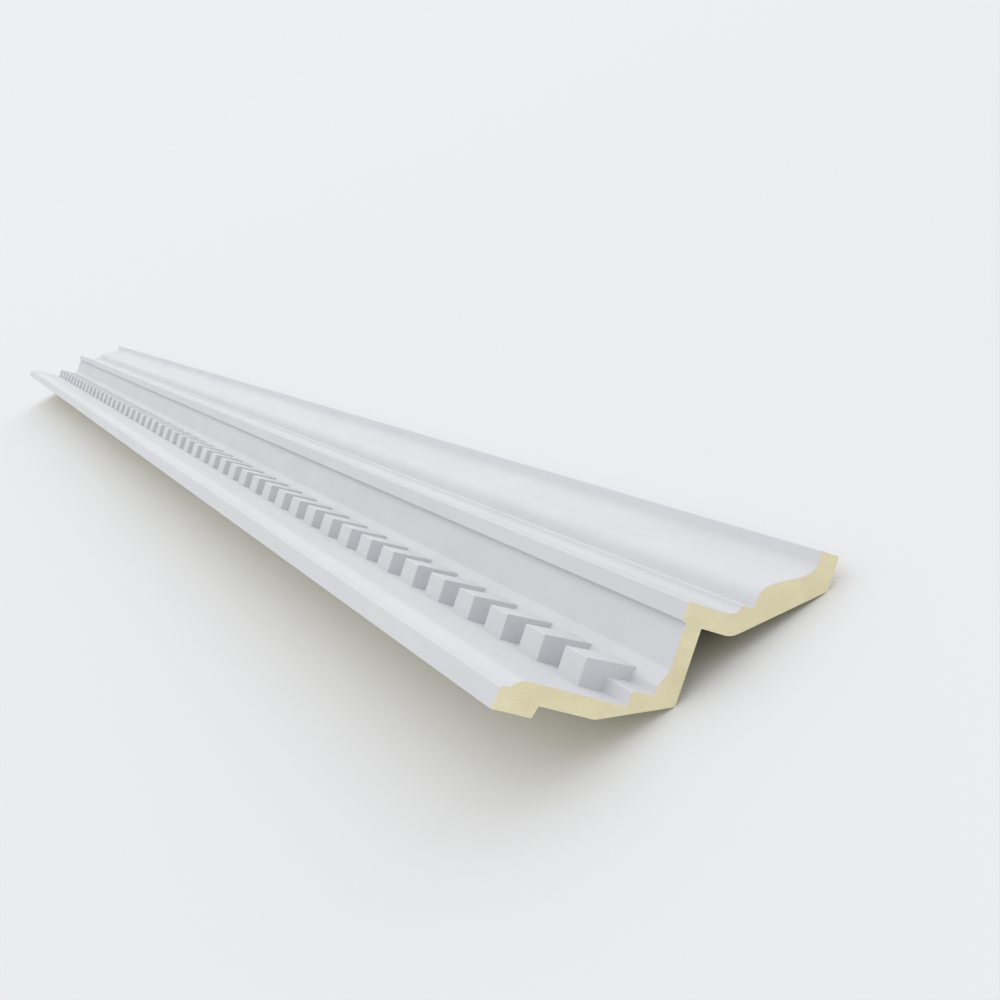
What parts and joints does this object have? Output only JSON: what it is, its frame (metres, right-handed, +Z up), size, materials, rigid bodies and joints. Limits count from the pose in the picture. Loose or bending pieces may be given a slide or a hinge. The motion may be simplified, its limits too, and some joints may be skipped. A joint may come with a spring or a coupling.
{
  "type": "cornice moulding length",
  "caption": "Crown cornice moulding length with a dentil row, cast in light rigid foam, that covers the joint between a wall and a ceiling.",
  "frame": {"origin": "centre of the bounding box's underside, on the floor where the length lies on two long edges of its back", "axes": "+X along the length, towards the end that closes with a gap; +Y across it, towards the crown; -Y towards the wall edge; +Z up"},
  "size_m": [2, 0.1674, 0.0555],
  "materials": {
    "primed_foam": "matt white factory primer on the moulded faces; bare cream rigid foam with fine pores on the cut ends and the back"
  },
  "bodies": {
    "root": {"cornice_length": "primed_foam"}
  },
  "joints": []
}
